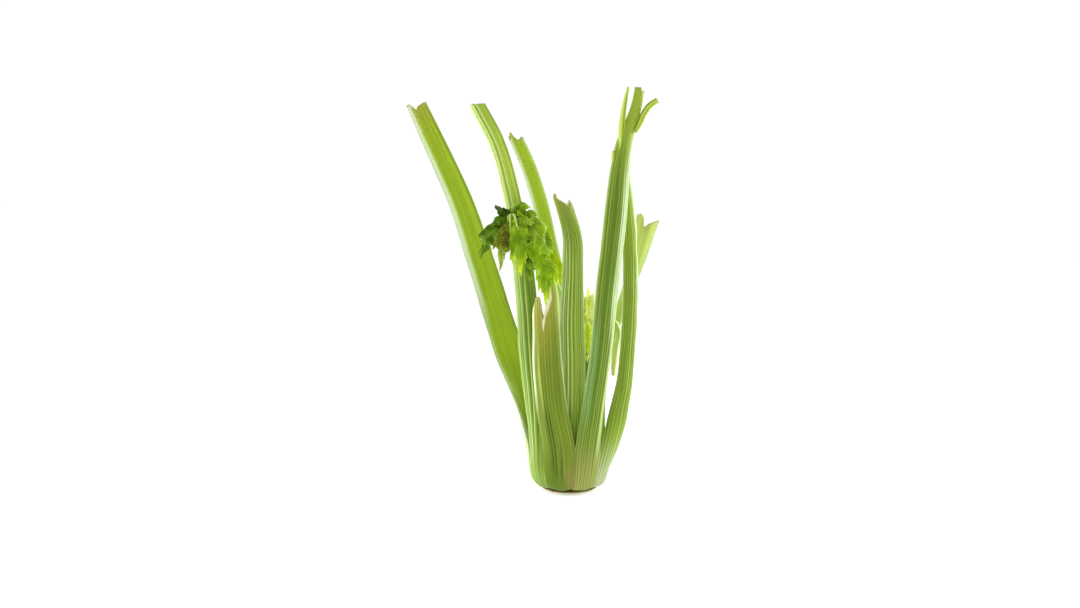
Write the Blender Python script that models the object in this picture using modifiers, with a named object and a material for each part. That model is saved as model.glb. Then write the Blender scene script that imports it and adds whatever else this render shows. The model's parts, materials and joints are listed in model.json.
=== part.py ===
"""Head of celery, standing on its cut butt: crown, stalks, heart stalks and heart leaves.

Metres, +Z up, origin at the centre of the cut face of the butt. The front of the head is -Y.
Every stalk is grown as one piece: a loft of C-shaped sections, closed towards the outside of
the head and open towards its middle, along a smooth route. The routes below are in millimetres.
"""
import math

import bmesh
import bpy
import numpy as np
from mathutils import Vector

MM = 0.001
GAP = 0.3                     # clearance kept between touching pieces, mm

# ---- the butt ---------------------------------------------------------------------------------
CUT_RADIUS = 24.5             # cut face that the head stands on, mm
DISC_HEIGHT = 1.7             # slice of the crown below the stalks, mm
DISC_TOP_RADIUS = 26.5
CORE_RADIUS = 13.2            # the crown's core, inside the inner ring of stalks
CORE_HEIGHT = 17.0
CROWN_STEPS = 36

# Rings in which the stalks leave the crown: height above the cut, then outer radius, mm
STALK_FOOT = DISC_HEIGHT + GAP
OUTER_RING = [(STALK_FOOT, 29.0), (8.0, 35.2), (17.0, 38.2)]
INNER_RING = [(STALK_FOOT, 20.4), (8.0, 25.8), (17.0, 29.4)]
RING_THICKNESS = 5.8

# ---- stalk section ----------------------------------------------------------------------------
FOOT_EDGE = 5.6               # thickness of a section's edges in the ring, mm
THIN_EDGE = 1.9               # thickness of its edges once the stalk stands free
FREE_HEIGHT = 105.0           # height at which a stalk has its own C section, mm
TURN_HEIGHT = 120.0           # height over which it turns from its azimuth to its own facing
ACROSS = 8                    # faces across a stalk, outside and inside
LEVEL_SPACING = 24.0          # distance between a stalk's levels, mm
FEWEST_LEVELS = 8
FOOT_LEVELS = 2.4             # the levels crowd towards the foot, within this many ring heights
CROWDING = 0.8
TANGENT_STEP = 0.5            # step for reading a route's direction, mm

# Routes give the middle of the outer face: x, y, z and the width across the edges, all in mm.
# "azimuth" and "span" place the foot in its ring, "facing" is the way the outer face turns at the
# top, "wrap" is half the angle of the C there, and "tip" is how far each place across the stalk
# stops short of the route's end: (-1 to 1 across, mm).
STALKS = {
    "stalk_far_left": dict(
        ring=OUTER_RING, azimuth=167, span=25.5, facing=112, wrap=62, thickness=(6.0, 4.0),
        route=[(-41, 16, 42, 31.5), (-48, 25, 79, 33.5), (-60, 36, 122, 31.5), (-72, 43, 160, 30.5),
               (-90, 53, 216, 29), (-109, 61, 272, 26), (-131, 67, 321, 24), (-152, 70, 367, 21)],
        tip=[(-1, 4), (-0.75, 3.5), (-0.1, 5), (0.15, 8), (0.45, 3), (0.7, 0), (1, 1)]),
    "stalk_front_left": dict(
        ring=OUTER_RING, azimuth=-146, span=18.7, facing=-112, wrap=64, thickness=(6.0, 3.6),
        route=[(-33.3, -23.1, 44, 22.6), (-35.5, -27, 80, 25.5), (-39.4, -31.3, 130, 22.4),
               (-42.6, -35, 180, 21.8), (-47.5, -38, 230, 20.5), (-55.5, -40, 276, 18),
               (-67.5, -41, 322, 17), (-87, -40, 361, 16)],
        tip=[(-1, 1), (-0.5, 0), (0.2, 2), (1, 5)]),
    "stalk_front_broken": dict(
        ring=OUTER_RING, azimuth=-105.6, span=21.1, facing=-104, wrap=54, thickness=(6.0, 4.5),
        route=[(-12, -41.5, 45, 31), (-18.1, -46, 80, 30.3), (-22.4, -50, 120, 29.3),
               (-24, -52, 158, 26.5), (-25.4, -53, 200, 22.4)],
        tip=[(-1, 27), (-0.62, 13), (-0.5, 12), (-0.38, 15), (-0.05, 33), (0.12, 20), (0.5, 7),
             (0.72, 0), (1, 9)]),
    "stalk_front_right": dict(
        ring=OUTER_RING, azimuth=-67.2, span=16.6, facing=-72, wrap=68, thickness=(6.0, 4.0),
        route=[(18, -39.8, 45, 24.9), (24, -47, 90, 22.5), (30, -52, 140, 21.5), (34, -56, 185, 22.5),
               (38.5, -59, 230, 22), (43, -61, 275, 21.8), (44.8, -62, 303, 18.3),
               (47.8, -62, 324, 15.8), (53, -63, 341, 12), (57.5, -63, 355, 11),
               (60.7, -63, 373, 10.2)],
        tip=[(-1, 0.5), (0, 0), (0.35, 3), (0.6, 3.5), (1, 2.5)]),
    "stalk_right": dict(
        ring=OUTER_RING, azimuth=-24, span=25.8, facing=-60, wrap=66, thickness=(6.0, 4.0),
        turn_height=65,
        route=[(43.6, -17.6, 46, 28.6), (49, -18, 74, 23), (53.9, -19, 104, 18.8),
               (56.8, -19, 138, 17.8), (58.7, -19, 181, 17.8), (58.5, -19, 215, 17),
               (56, -18, 260, 16.5), (51, -16, 296, 16), (48, -15, 314, 15.5)],
        tip=[(-1, 0), (0, 2), (1, 4)]),
    "stalk_back_right": dict(
        ring=OUTER_RING, azimuth=34, span=21.5, facing=68, wrap=58, thickness=(5.0, 3.4),
        turn_height=230,
        route=[(32, 25, 44, 23), (33.5, 31, 80, 17), (37.5, 35, 110, 13.5), (42.5, 38, 132, 12.5),
               (48.5, 42, 154, 12), (60, 46, 187, 14), (68, 49, 212, 17.5), (80.5, 54, 257, 25)],
        tip=[(-1, 3), (-0.6, 5), (-0.1, 8), (0.25, 13), (0.45, 3), (0.7, 0), (1, 2)]),
    "stalk_back_centre": dict(
        ring=OUTER_RING, azimuth=80, span=21, facing=82, wrap=62, thickness=(6.0, 3.8),
        route=[(8, 41, 44, 25), (5, 49, 90, 22), (4, 54, 140, 20), (3, 57, 190, 18.5),
               (3, 59, 236, 16)],
        tip=[(-1, 4), (0, 0), (1, 2)]),
    "stalk_back_short": dict(
        ring=OUTER_RING, azimuth=121, span=17.5, facing=122, wrap=56, thickness=(6.0, 4.0),
        route=[(-19, 38, 42, 20), (-20, 46, 82, 19), (-23, 50, 124, 18)],
        tip=[(-1, 0), (-0.2, 5), (0.4, 9), (1, 3)]),
    "stalk_middle_front": dict(
        ring=INNER_RING, azimuth=-90, span=27, facing=-84, wrap=64, thickness=(5.6, 3.8),
        route=[(2, -32, 45, 25), (3, -36, 85, 25), (3, -38, 125, 24), (2, -39, 165, 23),
               (2.5, -39, 192, 21), (3, -39, 215, 19.5), (2.5, -38, 238, 18.5),
               (-3, -37, 262, 16.5), (-10, -36, 282, 14.5)],
        tip=[(-1, 2), (-0.8, 0), (-0.55, 5), (0, 10), (0.45, 15), (0.75, 10), (1, 13)]),
    "stalk_middle_back": dict(
        ring=INNER_RING, azimuth=98, span=27, facing=101, wrap=64, thickness=(5.4, 3.4),
        route=[(-3, 34, 45, 22), (-2, 38, 82, 22.5), (-4, 42, 126, 21.5), (-9, 46, 170, 20),
               (-19, 50, 224, 18), (-29.5, 54, 272, 17), (-42.5, 56, 311, 16), (-55.5, 57, 339, 14)],
        tip=[(-1, 10), (-0.85, 8.5), (-0.4, 11), (0.1, 6), (0.4, 0), (0.55, 0.5), (1, 7)]),
    "stalk_middle_left": dict(
        ring=INNER_RING, azimuth=182, span=27, facing=184, wrap=54, thickness=(5.0, 3.4),
        route=[(-27, 1, 44, 17), (-29, 2, 74, 15), (-32, 3, 110, 12.5)],
        tip=[(-1, 3), (0, 0), (1, 7)]),
    "stalk_middle_right": dict(
        ring=INNER_RING, azimuth=5, span=27, facing=8, wrap=54, thickness=(5.0, 3.4),
        route=[(29, 3, 44, 17), (32, 5, 80, 15), (35, 7, 122, 13)],
        tip=[(-1, 6), (0, 0), (1, 3)]),
}

# Side shoots that leave the tall front stalk just under its top: route and thickness, mm
SIDE_SHOOTS = {
    "stalk_front_right": [
        [(41.5, -57, 300, 3.6), (42.5, -58.5, 315, 5), (43.8, -59.5, 327, 6), (44.3, -60.5, 339, 5.8),
         (45.2, -61.5, 350, 5), (47, -62, 362, 3.8), (49.3, -62.5, 373, 2)],
        [(56, -60, 334, 3), (60, -59.5, 342, 5), (63.5, -60, 350, 5.3), (68.6, -61, 357.2, 5.3),
         (75, -60, 361.6, 5)],
        [(41, -57.5, 292, 2.8), (38.8, -58, 303, 4), (37.2, -58.5, 311, 4), (37, -59, 317.5, 3)],
    ],
}

# Heart stalks: narrow solid stems in the middle of the head, x, y, z and thickness, mm
HEART_STALKS = {
    "heart_stalk_leafy": [(-7, -4, 19, 11), (-8, -8, 60, 9.5), (-8, -12, 110, 8), (-8, -14, 160, 6),
                          (-10, -20, 190, 4.6), (-19, -34, 214, 3.8), (-32, -48, 235, 3.2),
                          (-44, -56, 248, 2.6), (-51, -58, 256, 2.0)],
    "heart_stalk_right": [(9, -6, 19, 10), (13, -10, 60, 8), (16, -12, 100, 6), (17, -13, 137, 4)],
    "heart_stalk_drooping": [(9, 8, 19, 10), (15, 11, 60, 7), (27, 15, 112, 5), (38, 15, 147, 4),
                             (43, 15, 158, 4), (47, 15, 151, 4.4), (45.1, 15, 130, 5.4),
                             (43.2, 15, 113, 6), (42.6, 15, 105.5, 4)],
    "heart_stalk_small": [(-6, 10, 19, 10), (-8, 14, 55, 7.5), (-10, 16, 92, 4)],
}

# Leaflets: the midrib's foot, middle and tip, the way the blade faces, and its width, mm
LEAF_THICKNESS = 0.8
LEAFLET_LENGTH_FACES = 8
LEAFLET_WIDTH_FACES = 6
LEAFLETS = {
    "leaflet_top_pointed": ((-55, -59, 259), (-62, -61, 265), (-68.5, -62, 268.5), (0, -1, 0.6), 13),
    "leaflet_top_domed": ((-50.6, -59.2, 258), (-45.5, -65, 267.5), (-37, -67, 259), (0, -1, 0.8), 21),
    "leaflet_left_dark": ((-56, -62, 252), (-72, -67, 245), (-81, -64, 222.5), (-0.4, -1, 0.4), 22),
    "leaflet_left_frilled": ((-54, -70, 249), (-61, -73.5, 240), (-65, -73, 222), (-0.2, -1, 0.2), 16),
    "leaflet_centre": ((-46.5, -74, 249), (-46, -80, 231), (-45.5, -78, 208), (0, -1, 0.1), 17),
    "leaflet_right_serrated": ((-43, -65, 252), (-32, -69, 247), (-17.5, -66, 226), (0.3, -1, 0.4), 29),
    "leaflet_lower_right": ((-31, -56, 234), (-23.5, -62, 212), (-22, -58, 181), (0, -1, 0.1), 22),
    "leaflet_stalk_right": ((-20, -42, 226), (-14, -49, 217), (-13, -50, 198), (0.1, -1, 0.2), 14),
    "leaflet_back_dark": ((-39, -50, 236), (-37, -52, 220), (-35, -52, 202), (0, -1, 0), 14),
    "leaflet_hanging_strip": ((-55, -58, 243), (-60, -59, 229), (-63, -59, 211), (0, -1, 0), 8),
    "heart_leaflet_right": ((16.5, -15.5, 142), (17.5, -19, 168), (17, -19, 196), (0, -1, 0), 15),
    "heart_leaflet_left": ((15.5, -17, 131), (16.5, -23, 146), (16.5, -24.5, 163), (0, -1, 0), 12),
}

# Leaflet outline: lobes along a rounded blade, as shares of its width
LOBES = 3
LOBE_DEPTH = 0.12
LOBE_MEAN = 0.88
BLADE_START = 0.06            # share of the rounded outline that the foot starts at
BLADE_SKEW = 0.8              # below 1 the blade is widest nearer its foot
BLADE_FULLNESS = 0.7          # below 1 the outline is fuller than a sine
NARROWEST = 0.06
MARGIN_DROOP = 0.22           # fall of the margins, as a share of the half width
DROOP_POWER = 1.6

GREEN_OUTER = (0.25, 0.37, 0.055)
GREEN_INNER = (0.36, 0.50, 0.05)
GREEN_HEART = (0.50, 0.60, 0.16)
GREEN_LEAF = (0.10, 0.25, 0.02)
CROWN_TAN = (0.45, 0.38, 0.20)
STALK_ROUGHNESS = 0.38
LEAF_ROUGHNESS = 0.45
CROWN_ROUGHNESS = 0.6
SHARP_ANGLE = math.radians(40)
WELD = 0.01                   # points nearer than this are one, mm
JOIN_WELD = 0.05              # the same along the join of a shoot and its stalk


# ---- scene, materials and collections ----------------------------------------------------------
def clear_scene():
    for item in list(bpy.data.objects):
        bpy.data.objects.remove(item, do_unlink=True)


def new_collection(name):
    group = bpy.data.collections.new(name)
    bpy.context.scene.collection.children.link(group)
    return group


def new_material(name, colour, roughness):
    material = bpy.data.materials.new(name)
    material.use_nodes = True
    shader = material.node_tree.nodes["Principled BSDF"]
    shader.inputs["Base Color"].default_value = (*colour, 1.0)
    shader.inputs["Roughness"].default_value = roughness
    shader.inputs["Metallic"].default_value = 0.0
    return material


def new_object(name, vertices, faces, material, group):
    mesh = bpy.data.meshes.new(name)
    mesh.from_pydata([Vector(point) * MM for point in vertices], [], faces)
    mesh.materials.append(material)
    mesh.shade_smooth()
    mesh.set_sharp_from_angle(angle=SHARP_ANGLE)
    item = bpy.data.objects.new(name, mesh)
    group.objects.link(item)
    return item


# ---- curves ------------------------------------------------------------------------------------
def smooth_rows(rows, knots, places):
    """Rows of numbers read at the places from one smooth cubic through the rows at the knots."""
    rows = np.asarray(rows, float)
    knots = np.asarray(knots, float)
    places = np.atleast_1d(places)
    slopes = np.gradient(rows, knots, axis=0)
    start = np.clip(np.searchsorted(knots, places, side="right") - 1, 0, len(knots) - 2)
    length = (knots[start + 1] - knots[start])[:, None]
    t = (places - knots[start])[:, None] / length
    value = (2 * t**3 - 3 * t**2 + 1) * rows[start] + (3 * t**2 - 2 * t**3) * rows[start + 1]
    bend = (t**3 - 2 * t**2 + t) * slopes[start] + (t**3 - t**2) * slopes[start + 1]
    return value + bend * length


def distances(points):
    """Running length along a row of points."""
    steps = np.linalg.norm(np.diff(np.asarray(points, float), axis=0), axis=1)
    return np.concatenate([[0.0], np.cumsum(steps)])


def unit(vectors):
    return vectors / np.linalg.norm(vectors, axis=-1, keepdims=True)


def ease(value):
    value = np.clip(value, 0.0, 1.0)
    return value * value * (3 - 2 * value)


# ---- stalks ------------------------------------------------------------------------------------
def stalk_rows(plan):
    """Rows down the whole stalk: x, y, z, width, facing, wrap, thickness, edge thickness."""
    rows = []
    azimuth = math.radians(plan["azimuth"])
    for height, radius in plan["ring"]:
        width = 2 * radius * math.sin(math.radians(plan["span"]))
        foot = (radius * math.cos(azimuth), radius * math.sin(azimuth), height, width)
        rows.append((*foot, plan["azimuth"], plan["span"], RING_THICKNESS, FOOT_EDGE))
    top = plan["route"][-1][2]
    thick, thin = plan["thickness"]
    for x, y, z, width in plan["route"]:
        turn = ease((z - plan["ring"][-1][0]) / plan.get("turn_height", TURN_HEIGHT))
        facing = plan["azimuth"] + (plan["facing"] - plan["azimuth"]) * turn
        wrap = plan["span"] + (plan["wrap"] - plan["span"]) * ease(z / FREE_HEIGHT)
        thickness = thick + (thin - thick) * z / top
        edge = FOOT_EDGE + (THIN_EDGE - FOOT_EDGE) * ease(z / FREE_HEIGHT)
        rows.append((x, y, z, width, facing, wrap, thickness, edge))
    return rows


def stalk_surface(plan, across, along):
    """Outer and inner points at each place across (-1 to 1) and along (0 to 1) the stalk."""
    rows = stalk_rows(plan)
    knots = distances([row[:3] for row in rows])
    length = knots[-1]
    tip = np.interp(across, [place for place, _ in plan["tip"]], [drop for _, drop in plan["tip"]])
    outer = np.zeros((len(along), len(across), 3))
    inner = np.zeros_like(outer)
    for column, (place, short) in enumerate(zip(across, tip)):
        travel = along * (length - short)
        row = smooth_rows(rows, knots, travel)
        centre = row[:, :3]
        ahead = smooth_rows(rows, knots, np.minimum(travel + TANGENT_STEP, length))[:, :3]
        behind = smooth_rows(rows, knots, np.maximum(travel - TANGENT_STEP, 0.0))[:, :3]
        tangent = unit(ahead - behind)
        turned = np.radians(row[:, 4])
        outward = np.stack([np.cos(turned), np.sin(turned), np.zeros(len(turned))], axis=1)
        outward -= np.sum(outward * tangent, axis=1, keepdims=True) * tangent
        outward = unit(outward)
        side = np.cross(tangent, outward)
        wrap = np.radians(row[:, 5])
        radius = row[:, 3] / (2 * np.sin(wrap))
        angle = wrap * place
        edge = row[:, 7]
        thickness = edge + (row[:, 6] - edge) * (1 - place * place)
        ray = np.cos(angle)[:, None] * outward + np.sin(angle)[:, None] * side
        axis = centre - radius[:, None] * outward
        outer[:, column] = axis + radius[:, None] * ray
        inner[:, column] = axis + (radius - thickness)[:, None] * ray
    return outer, inner


def loft_faces(levels, around):
    """Faces of a closed tube of rings, with a strip across each end."""
    faces = []
    for level in range(levels - 1):
        low = level * around
        for column in range(around):
            beside = (column + 1) % around
            faces.append((low + column, low + beside, low + around + beside, low + around + column))
    top = (levels - 1) * around
    for column in range(around // 2 - 1):
        across = around - 1 - column
        faces.append((column + 1, column, across, across - 1))
        faces.append((top + column, top + column + 1, top + across - 1, top + across))
    return faces


def make_stalk(name, plan, material, group):
    rows = stalk_rows(plan)
    length = distances([row[:3] for row in rows])[-1]
    levels = max(FEWEST_LEVELS, round(length / LEVEL_SPACING) + 3)
    along = np.linspace(0.0, 1.0, levels)
    foot_share = plan["ring"][-1][0] * FOOT_LEVELS / length
    along = along + (along * (1 - along)) * (foot_share - along) * CROWDING
    across = np.linspace(-1.0, 1.0, ACROSS + 1)
    outer, inner = stalk_surface(plan, across, along)
    rings = np.concatenate([outer, inner[:, ::-1]], axis=1)
    around = rings.shape[1]
    return new_object(name, rings.reshape(-1, 3), loft_faces(levels, around), material, group)


# ---- stems -------------------------------------------------------------------------------------
def make_stem(name, route, material, group, spacing=14.0):
    """Round solid stem of changing thickness: a bevelled curve with filled caps, as a mesh."""
    knots = distances([point[:3] for point in route])
    count = max(5, round(knots[-1] / spacing) + 1)
    rows = smooth_rows(route, knots, np.linspace(0.0, knots[-1], count))
    curve = bpy.data.curves.new(name, "CURVE")
    curve.dimensions = "3D"
    curve.bevel_depth = 0.5 * MM
    curve.bevel_resolution = 2
    curve.use_fill_caps = True
    spline = curve.splines.new("POLY")
    spline.points.add(count - 1)
    for point, (x, y, z, thickness) in zip(spline.points, rows):
        point.co = (x * MM, y * MM, z * MM, 1.0)
        point.radius = thickness
    guide = bpy.data.objects.new(name + "_guide", curve)
    group.objects.link(guide)
    depsgraph = bpy.context.evaluated_depsgraph_get()
    mesh = bpy.data.meshes.new_from_object(guide.evaluated_get(depsgraph))
    bpy.data.objects.remove(guide, do_unlink=True)
    welded = bmesh.new()
    welded.from_mesh(mesh)
    bmesh.ops.remove_doubles(welded, verts=welded.verts, dist=WELD * MM)
    welded.to_mesh(mesh)
    welded.free()
    mesh.materials.clear()
    mesh.materials.append(material)
    mesh.shade_smooth()
    mesh.set_sharp_from_angle(angle=SHARP_ANGLE)
    item = bpy.data.objects.new(name, mesh)
    group.objects.link(item)
    return item


def join_shoots(stalk, routes, material, cutters):
    """Side shoots grown in one with their stalk, whose faces are made flat before the joins."""
    stalk.modifiers.new("flat faces", "TRIANGULATE")
    for number, route in enumerate(routes, start=1):
        shoot = make_stem(f"{stalk.name}_shoot_{number}", route, material, cutters, spacing=8.0)
        shoot.hide_render = True
        shoot.display_type = "WIRE"
        join = stalk.modifiers.new(f"shoot {number}", "BOOLEAN")
        join.operation = "UNION"
        join.solver = "EXACT"
        join.object = shoot
    tidy = stalk.modifiers.new("short edges", "WELD")
    tidy.merge_threshold = JOIN_WELD * MM


# ---- leaflets ----------------------------------------------------------------------------------
def blade_half_width(place):
    """Half the width of a leaflet at a place from foot (0) to tip (1), as a share of its width."""
    turn = min(1.0, BLADE_START + (1 - BLADE_START) * place) ** BLADE_SKEW
    body = max(0.0, math.sin(math.pi * turn)) ** BLADE_FULLNESS
    lobes = LOBE_DEPTH * math.cos(2 * LOBES * math.pi * place)
    return max(NARROWEST, 0.5 * body * (LOBE_MEAN + lobes))


def make_leaflet(name, plan, material, group):
    """A drooping lobed blade: an open sheet along the midrib, made solid."""
    foot, middle, tip, facing, width = plan
    midrib = [foot, middle, tip]
    knots = distances(midrib)
    places = np.linspace(0.0, 1.0, LEAFLET_LENGTH_FACES + 1)
    spine = smooth_rows(midrib, knots, places * knots[-1])
    tangent = unit(np.gradient(spine, axis=0))
    outward = np.array(facing, float)
    outward = outward - np.sum(tangent * outward, axis=1, keepdims=True) * tangent
    outward = unit(outward)
    side = np.cross(outward, tangent)
    vertices = []
    columns = np.linspace(-1.0, 1.0, LEAFLET_WIDTH_FACES + 1)
    for row, place in enumerate(places):
        reach = width * blade_half_width(place)
        for column in columns:
            droop = -MARGIN_DROOP * reach * abs(column) ** DROOP_POWER
            vertices.append(spine[row] + side[row] * reach * column + outward[row] * droop)
    faces = []
    wide = len(columns)
    for row in range(LEAFLET_LENGTH_FACES):
        for column in range(LEAFLET_WIDTH_FACES):
            low = row * wide + column
            faces.append((low, low + wide, low + wide + 1, low + 1))
    leaflet = new_object(name, vertices, faces, material, group)
    solid = leaflet.modifiers.new("thickness", "SOLIDIFY")
    solid.thickness = LEAF_THICKNESS * MM
    solid.offset = 0.0
    return leaflet


# ---- crown -------------------------------------------------------------------------------------
def make_crown(material, group):
    """The butt's cut disc and the core that the stalks stand around, turned about Z."""
    profile = [(0.0, CORE_HEIGHT), (0.55 * CORE_RADIUS, 0.95 * CORE_HEIGHT),
               (0.9 * CORE_RADIUS, 0.72 * CORE_HEIGHT), (CORE_RADIUS, DISC_HEIGHT + 1.0),
               (CORE_RADIUS, DISC_HEIGHT), (DISC_TOP_RADIUS, DISC_HEIGHT), (CUT_RADIUS, 0.0),
               (0.0, 0.0)]
    vertices = [(radius, 0.0, height) for radius, height in profile]
    mesh = bpy.data.meshes.new("crown")
    edges = [(start, start + 1) for start in range(len(vertices) - 1)]
    mesh.from_pydata([Vector(point) * MM for point in vertices], edges, [])
    mesh.materials.append(material)
    crown = bpy.data.objects.new("crown", mesh)
    group.objects.link(crown)
    turn = crown.modifiers.new("turn", "SCREW")
    turn.axis = "Z"
    turn.steps = CROWN_STEPS
    turn.render_steps = CROWN_STEPS
    turn.use_merge_vertices = True
    turn.merge_threshold = WELD * MM
    turn.use_smooth_shade = False
    return crown


def build():
    clear_scene()
    parts = new_collection("head_of_celery")
    cutters = new_collection("cutters")
    make_crown(new_material("crown", CROWN_TAN, CROWN_ROUGHNESS), parts)
    for name, plan in STALKS.items():
        colour = GREEN_OUTER if plan["ring"] is OUTER_RING else GREEN_INNER
        material = new_material(name, colour, STALK_ROUGHNESS)
        stalk = make_stalk(name, plan, material, parts)
        if name in SIDE_SHOOTS:
            join_shoots(stalk, SIDE_SHOOTS[name], material, cutters)
    for name, route in HEART_STALKS.items():
        make_stem(name, route, new_material(name, GREEN_HEART, STALK_ROUGHNESS), parts)
    for name, plan in LEAFLETS.items():
        make_leaflet(name, plan, new_material(name, GREEN_LEAF, LEAF_ROUGHNESS), parts)


build()
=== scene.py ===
"""Looks of the head of celery: ribbed stalks, torn tops, cut butt, heart stems and heart leaves.

The frame is in metres, +Z up, with the cut face of the butt at the origin and the front at -Y.
Tables below are in millimetres and follow the same routes as the solids that they stand for.
"""
import json
import math

import bpy
import numpy as np
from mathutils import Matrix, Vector


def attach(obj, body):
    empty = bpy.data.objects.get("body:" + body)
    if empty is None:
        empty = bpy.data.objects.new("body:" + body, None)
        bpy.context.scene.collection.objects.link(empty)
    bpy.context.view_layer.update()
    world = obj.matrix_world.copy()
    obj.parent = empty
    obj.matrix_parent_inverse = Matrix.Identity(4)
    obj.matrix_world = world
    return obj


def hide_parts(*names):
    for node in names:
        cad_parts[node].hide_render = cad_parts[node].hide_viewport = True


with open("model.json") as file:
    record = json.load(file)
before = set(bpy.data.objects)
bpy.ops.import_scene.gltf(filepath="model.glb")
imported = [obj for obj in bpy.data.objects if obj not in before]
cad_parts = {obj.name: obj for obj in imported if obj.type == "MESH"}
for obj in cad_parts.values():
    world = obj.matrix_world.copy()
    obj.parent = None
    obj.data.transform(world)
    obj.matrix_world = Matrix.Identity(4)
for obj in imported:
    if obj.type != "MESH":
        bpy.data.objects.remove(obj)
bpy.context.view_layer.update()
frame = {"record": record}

MM = 0.001

# ---- the butt ----
CUT_RADIUS = 24.5  # cut face that the head stands on
DISC_HEIGHT = 1.7
DISC_TOP_RADIUS = 26.5
CORE_RADIUS = 13.2
CORE_HEIGHT = 17.0
STALK_FOOT = 2.0  # height at which the stalks leave the cut disc
OUTER_RING = [(STALK_FOOT, 29.0), (8.0, 35.2), (17.0, 38.2)]
INNER_RING = [(STALK_FOOT, 20.4), (8.0, 25.8), (17.0, 29.4)]
RING_THICKNESS = 5.8
BUTT_COLUMNS = 180
BUTT_WOBBLE = 0.018  # how uneven the rim is, as a share of the radius

# ---- stalk section ----
FOOT_EDGE = 5.6  # thickness of a section's edges in the ring
THIN_EDGE = 1.9  # thickness of its edges once the stalk stands free
FREE_HEIGHT = 105.0  # height at which a stalk has its own C section
TURN_HEIGHT = 120.0  # height over which it turns from its azimuth to its own facing
MARGIN_BULGE = 0.8  # how round a stalk's margins are: 1 is a half circle
MARGIN_LIMIT = 2.6  # most thickness that a margin rounds off
FOOT_LIMIT = 0.9  # the same in the ring, where the stalks have grown together
SEAM_OVERLAP = 0.9  # how far the stalks' sides grow into each other there
SEAM_HEIGHT = 60.0  # up to this travel
RIB_DEPTH = 0.5  # from ridge to groove
RIB_COLUMNS = 6  # mesh columns for each rib
LEVEL_STEP = 2.4  # distance between mesh levels along a stalk
END_ROWS = 5  # mesh rows through the thickness at a stalk's ends
HEEL_HEIGHT = 5.0  # the stalks round in to the cut disc below this
HEEL_DEPTH = 1.8
RAGGED = (0.35, 0.18)  # broad and fine raggedness of the torn ends
TORN_LUMPS = 0.35  # how rough and how hollow the torn ends are
TORN_HOLLOW = 0.5
TANGENT_STEP = 0.5  # distance to either side at which a stalk's direction is read
MARGIN_START = 30.0  # travel from which the margins round off on their own
MARGIN_FADE = 80.0
SEAM_FADE = 20.0
RIB_WANDER = (0.14, 0.3)  # how far the ribs stray, in ribs: along a stalk and as a whole
RIB_POWER = 1.4  # above 1, ridges are narrower than grooves
RIB_LEAST = 0.25  # share of its depth that the weakest rib has, and every rib at the foot
RIB_START = 10.0  # travel from which the ribs grow to their full depth
RIB_FADE = 90.0
RIB_ROOM = 2.0  # a rib narrower than this is shallower
LUMPS = 0.35  # slow swellings of the outer face
CLEFT_DEPTH = 1.1
CLEFT_HALF = 0.04  # half width, as a share of the way across
CHANNEL_RIBS = 0.12  # ribs and swellings inside the channel
CHANNEL_LUMPS = 0.25

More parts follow.
